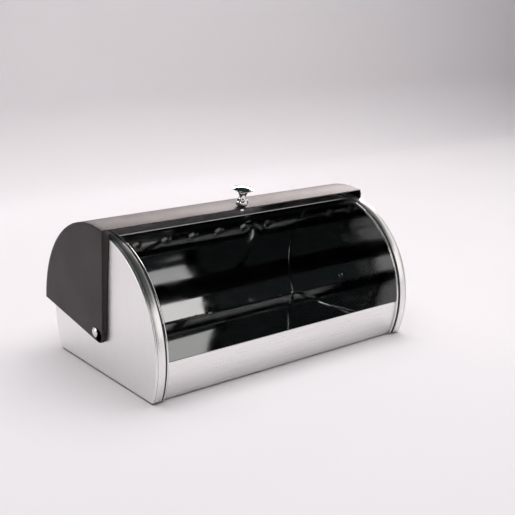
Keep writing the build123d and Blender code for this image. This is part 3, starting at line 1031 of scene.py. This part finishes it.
class BREADBOX_OT_pivots(bpy.types.Operator):
    """Set the domed pivot rivets, and finish the spacers and the stop studs"""

    bl_idname = "breadbox.pivots"
    bl_label = "Pivots and stops"

    def execute(self, context):
        for side, hand in SIDES:
            low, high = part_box(f"{side}_pivot_rivet")
            inner, outer = sorted((low.x * hand, high.x * hand))
            head, rise = 6 * MM, 1.9 * MM
            bore, lip, eye = 1.9 * MM, 2.9 * MM, 3.9 * MM
            floor = inner + 5 * MM
            neck = outer - rise
            plate = SIZE["plate_x"][1] - PLATE_SHEET
            crown = (head**2 + rise**2) / (2 * rise)
            half = asin(head / crown)
            profile = [(0, floor), (bore, floor), (bore, inner + 0.4 * MM)]
            for i in range(9):
                turn = pi - pi * i / 8
                profile.append(
                    (lip + 1.0 * MM * cos(turn), inner + 0.5 * MM - 0.5 * MM * sin(turn))
                )
            profile += [(eye, plate), (RIVET_SHANK, plate), (RIVET_SHANK, neck)]
            profile.append((head - 0.15 * MM, neck))
            for i in range(13):
                turn = half * (1 - i / 12)
                profile.append((crown * sin(turn), outer - crown + crown * cos(turn)))
            origin = Vector((0, *PIVOT))
            outward, across = Vector((hand, 0, 0)), Vector((0, 1, 0))
            piece = turned(
                f"{side}_rivet", bright_chrome(), profile, origin, outward, across, segments=48
            )
            settle(piece, "root", "rivet_steel", f"{side}_pivot_rivet")
            finish_node(f"{side}_pivot_spacer", moulded_rubber("moulded_nylon", 0.4))
            finish_node(f"{side}_stop_studs", bright_chrome())
        return {"FINISHED"}


class BREADBOX_OT_knob(bpy.types.Operator):
    """Turn the knob, and finish its washer and screw"""

    bl_idname = "breadbox.knob"
    bl_label = "Knob"

    def execute(self, context):
        # The washer's middle gives the knob's angle about the pivot.
        low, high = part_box("knob_washer")
        pivot = Vector((0, *PIVOT))
        middle = (low + high) / 2 - pivot
        axis = Vector((0, middle.y, middle.z)).normalized()
        origin = pivot + axis * SIZE["lid_radius"]
        # (radius, height) in millimetres: foot, bulge with its groove, neck, then disc.
        points = [(0, 0.02), (4.3, 0.02), (4.4, 0.12), (4.4, 0.6)]
        points += [(5.4, 0.95), (6.35, 1.5), (7.1, 2.3), (7.6, 3.2), (7.8, 4.1)]
        points += [(7.55, 4.32), (7.42, 4.5), (7.55, 4.68), (7.8, 4.9)]
        points += [(7.8, 5.8), (7.78, 6.6), (7.6, 7.5), (7.2, 8.4), (6.5, 9.1), (5.7, 9.6)]
        points += [(5.15, 10.3), (4.8, 11.2), (4.65, 12.3), (4.62, 13.4), (4.75, 14.8)]
        points += [(5.1, 16.2), (5.7, 17.4), (6.6, 18.6), (8.1, 19.9), (10.0, 20.9), (12.0, 21.6)]
        points += [(12.8, 21.95), (13.2, 22.3), (13.3, 22.6), (13.2, 22.85), (12.8, 23.1)]
        crown = (13.3**2 + 2.8**2) / (2 * 2.8)
        for i in range(1, 15):
            radius = 12.4 * (1 - i / 14)
            points.append((radius, 25.4 - crown + sqrt(crown**2 - radius**2)))
        profile = [(r * MM, h * MM) for r, h in points]
        across = Vector((1, 0, 0))
        piece = turned("turned_knob", bright_chrome(), profile, origin, axis, across, segments=96)
        settle(piece, "lid", "knob_chrome", "knob")
        for node in ("knob_washer", "knob_screw"):
            finish_node(node, bright_chrome())
        return {"FINISHED"}


class BREADBOX_OT_feet(bpy.types.Operator):
    """Finish the four rubber feet"""

    bl_idname = "breadbox.feet"
    bl_label = "Feet"

    def execute(self, context):
        for end in ("front", "back"):
            for side in ("left", "right"):
                finish_node(f"{end}_{side}_foot", moulded_rubber("moulded_rubber_feet", 0.6))
        return {"FINISHED"}


# --- stage ------------------------------------------------------------------------------------

def soft_light(name, place, target, size, power, colour):
    """A large rectangular lamp that faces a point."""
    lamp = bpy.data.lights.new(name, "AREA")
    lamp.shape = "RECTANGLE"
    lamp.size, lamp.size_y = size
    lamp.energy = power
    lamp.color = colour
    holder = bpy.data.objects.new(name, lamp)
    holder.location = place
    facing = Vector(target) - Vector(place)
    holder.rotation_euler = facing.to_track_quat("-Z", "Y").to_euler()
    bpy.context.scene.collection.objects.link(holder)
    return holder


class BREADBOX_OT_stage(bpy.types.Operator):
    """Set the pale floor and backdrop, the soft lights and the camera"""

    bl_idname = "breadbox.stage"
    bl_label = "Stage"

    def execute(self, context):
        context.scene.view_settings.view_transform = "Standard"
        self.backdrop()
        world = bpy.data.worlds.new("dim_room")
        world.use_nodes = True
        background = world.node_tree.nodes["Background"]
        background.inputs["Color"].default_value = (*linear("#4C5455"), 1)
        background.inputs["Strength"].default_value = 0.35
        context.scene.world = world
        # A broad ceiling light fills the shadows; polished steel doesn't show it.
        ceiling = soft_light(
            "ceiling", (0.3, 0.1, 2.0), (0.3, 0.1, 0), (3.2, 3.2), 79, linear("#FFFDFE")
        )
        ceiling.visible_glossy = False
        # The reflections come from broad cards that add no light of their own to the floor.
        cards = (
            ("back_card", (1.7, 2.0, 1.2), (2.8, 1.2), 124, "#FFF6F4"),
            ("right_card", (1.9, -0.2, 1.4), (2.4, 1.2), 9, "#FFF8F8"),
            ("left_card", (-2.0, 0.9, 0.7), (1.4, 1.2), 14, "#FFFDFB"),
            ("front_card", (1.1, -1.9, 0.75), (1.9, 1.4), 10, "#FFFBFA"),
            ("front_left_card", (-2.1, -1.1, 0.8), (0.8, 0.8), 7, "#FAFCFC"),
        )
        for name, place, size, power, tint in cards:
            card = soft_light(name, place, (0, 0, 0.1), size, power, linear(tint))
            card.visible_diffuse = False
        self.camera(context)
        return {"FINISHED"}

    def backdrop(self):
        """A floor that sweeps up into a wall behind the box."""
        floor_end = 1.0
        bend = 0.2
        section = straight((-3.0, 0), (floor_end, 0), 8)
        for i in range(1, 13):
            turn = pi / 2 * i / 12
            section.append((floor_end + bend * sin(turn), bend * (1 - cos(turn))))
        section += straight((floor_end + bend, bend), (floor_end + bend, 0.75), 2)[1:]
        shape = Shape()
        shape.grid(rows_across(section, [-3.2, -1.6, 0, 1.6, 3.2]))
        # Matt wall paint, rolled on: chalky, with no sheen and a barely cloudy tone.
        material, tree, shader, place = start_material(
            "matt_pale_paint", Roughness=0.9, **{"Specular IOR Level": 0.1}
        )
        clouds = sized_pattern(tree, place, 400, detail=3)
        pale = linear("#E9E5E7")
        add_node(
            tree, "ShaderNodeValToRGB", links={"Fac": clouds}, into=shader.inputs["Base Color"],
            stops=[(0.3, tuple(c * 0.98 for c in pale)), (0.7, pale)],
        )
        shape.build("pale_sweep", material, smooth_angle=pi)

    def camera(self, context):
        lens = bpy.data.cameras.new("camera")
        lens.lens = 62.8
        lens.sensor_width = 36
        holder = bpy.data.objects.new("camera", lens)
        holder.location = (-0.6467, -0.8885, 0.4083)
        tilt, heading, roll = 90 - 15.233, -37.797, 0.078
        look = Euler((radians(tilt), 0, radians(heading))).to_matrix()
        holder.rotation_euler = (look @ Matrix.Rotation(radians(roll), 3, "Z")).to_euler()
        context.scene.collection.objects.link(holder)
        context.scene.camera = holder


# --- panel and registration -------------------------------------------------------------------

BUILD_ORDER = (
    BREADBOX_OT_front_panel,
    BREADBOX_OT_back_panel,
    BREADBOX_OT_floor_panel,
    BREADBOX_OT_end_plates,
    BREADBOX_OT_rim_trim,
    BREADBOX_OT_lid_roof,
    BREADBOX_OT_lid_cheeks,
    BREADBOX_OT_pivots,
    BREADBOX_OT_knob,
    BREADBOX_OT_feet,
    BREADBOX_OT_stage,
)


class BREADBOX_PT_sidebar(bpy.types.Panel):
    """The bread box's sizes, finishes and building steps"""

    bl_label = "Bread box"
    bl_idname = "BREADBOX_PT_sidebar"
    bl_space_type = "VIEW_3D"
    bl_region_type = "UI"
    bl_category = "Bread box"

    def draw(self, context):
        for settings in (context.scene.bread_box_sizes, context.scene.bread_box_finish):
            column = self.layout.column(align=True)
            for key in settings.__annotations__:
                column.prop(settings, key)
        for operator in BUILD_ORDER:
            self.layout.operator(operator.bl_idname)


CLASSES = (BreadBoxSizes, BreadBoxFinish, *BUILD_ORDER, BREADBOX_PT_sidebar)


def register():
    for item in CLASSES:
        bpy.utils.register_class(item)
    bpy.types.Scene.bread_box_sizes = PointerProperty(type=BreadBoxSizes)
    bpy.types.Scene.bread_box_finish = PointerProperty(type=BreadBoxFinish)


def unregister():
    del bpy.types.Scene.bread_box_finish
    del bpy.types.Scene.bread_box_sizes
    for item in reversed(CLASSES):
        bpy.utils.unregister_class(item)


def main():
    register()
    for operator in BUILD_ORDER:
        group, name = operator.bl_idname.split(".")
        getattr(getattr(bpy.ops, group), name)()


if __name__ == "__main__":
    main()
